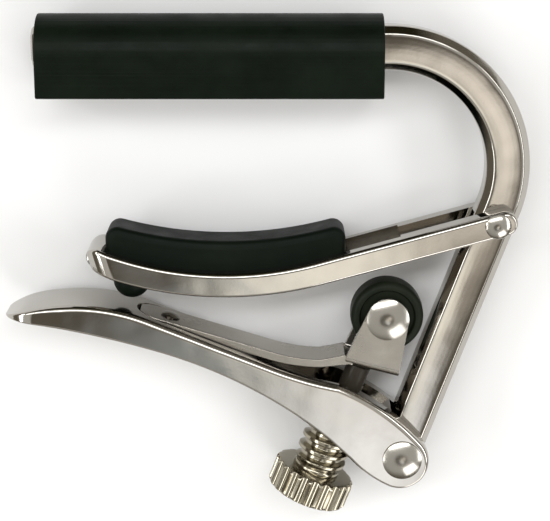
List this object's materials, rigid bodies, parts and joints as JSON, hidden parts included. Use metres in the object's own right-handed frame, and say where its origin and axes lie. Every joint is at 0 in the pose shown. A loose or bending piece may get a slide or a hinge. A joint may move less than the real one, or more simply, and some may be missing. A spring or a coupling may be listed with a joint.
{
  "type": "guitar capo",
  "caption": "Over-centre roller capo: a bent bar with a rubber sleeve, a padded neck arm and a forked clamp lever with a sprung roller set by a knurled screw.",
  "frame": {"origin": "centre of the rubber sleeve's flat string face", "axes": "+X along the sleeve towards the bend, -Y out of the string face towards the neck, +Z parallel to all pivots; the capo lies on its side"},
  "size_m": [0.0842, 0.0825, 0.0142],
  "materials": {
    "polished_nickel": "polished plating",
    "rivet_nickel": "polished plating",
    "spring_steel": "satin plated spring strip",
    "screw_nickel": "bright plating",
    "sleeve_rubber": "extruded, satin",
    "pad_rubber": "moulded, matt",
    "roller_rubber": "moulded, satin",
    "tip_plastic": "moulded"
  },
  "bodies": {
    "frame": {"frame_bar": "polished_nickel", "fretboard_sleeve": "sleeve_rubber", "lever_rivet": "rivet_nickel"},
    "lever": {"clamp_lever": "polished_nickel", "leaf_rivet": "rivet_nickel"},
    "arm": {"neck_arm": "polished_nickel", "neck_pad": "pad_rubber", "toe_bumper": "pad_rubber", "arm_rivet": "rivet_nickel"},
    "bracket": {"roller_bracket": "spring_steel", "roller_axle": "rivet_nickel"},
    "roller": {"roller_hub": "tip_plastic", "roller_tyre": "roller_rubber"},
    "tip": {"screw_tip": "tip_plastic"},
    "screw": {"adjusting_screw": "screw_nickel", "thumb_knob": "screw_nickel"}
  },
  "joints": [
    {"name": "lever_turn", "type": "hinge", "parent": "frame", "child": "lever", "pos_m": [0.03095, -0.0596, 0], "axis": [0, 0, 1], "range_deg": [0, 95]},
    {"name": "arm_turn", "type": "hinge", "parent": "frame", "child": "arm", "pos_m": [0.04531, -0.02013, 0], "axis": [0, 0, 1], "range_deg": [0, 19.5]},
    {"name": "bracket_flex", "type": "hinge", "parent": "lever", "child": "bracket", "pos_m": [-0.00722, -0.03741, 0], "axis": [0, 0, 1], "range_deg": [-3.65, 1]},
    {"name": "roller_spin", "type": "hinge", "parent": "bracket", "child": "roller", "pos_m": [0.02835, -0.0362, 0], "axis": [0, 0, 1], "continuous": true},
    {"name": "tip_slide", "type": "slide", "parent": "lever", "child": "tip", "axis": [0.3584, 0.9336, 0], "range_m": [-0.002, 0.0005]},
    {"name": "screw_turn", "type": "hinge", "parent": "tip", "child": "screw", "pos_m": [0.0153, -0.0677, 0], "axis": [0.3584, 0.9336, 0], "range_deg": [-362, 92]}
  ],
  "couplings": [
    {"joint": "arm_turn", "follows": "lever_turn", "ratio": 0.2},
    {"joint": "screw_turn", "follows": "tip_slide", "rad_per_m": 3141.6},
    {"joint": "bracket_flex", "follows": "tip_slide", "rad_per_m": 30.94}
  ]
}
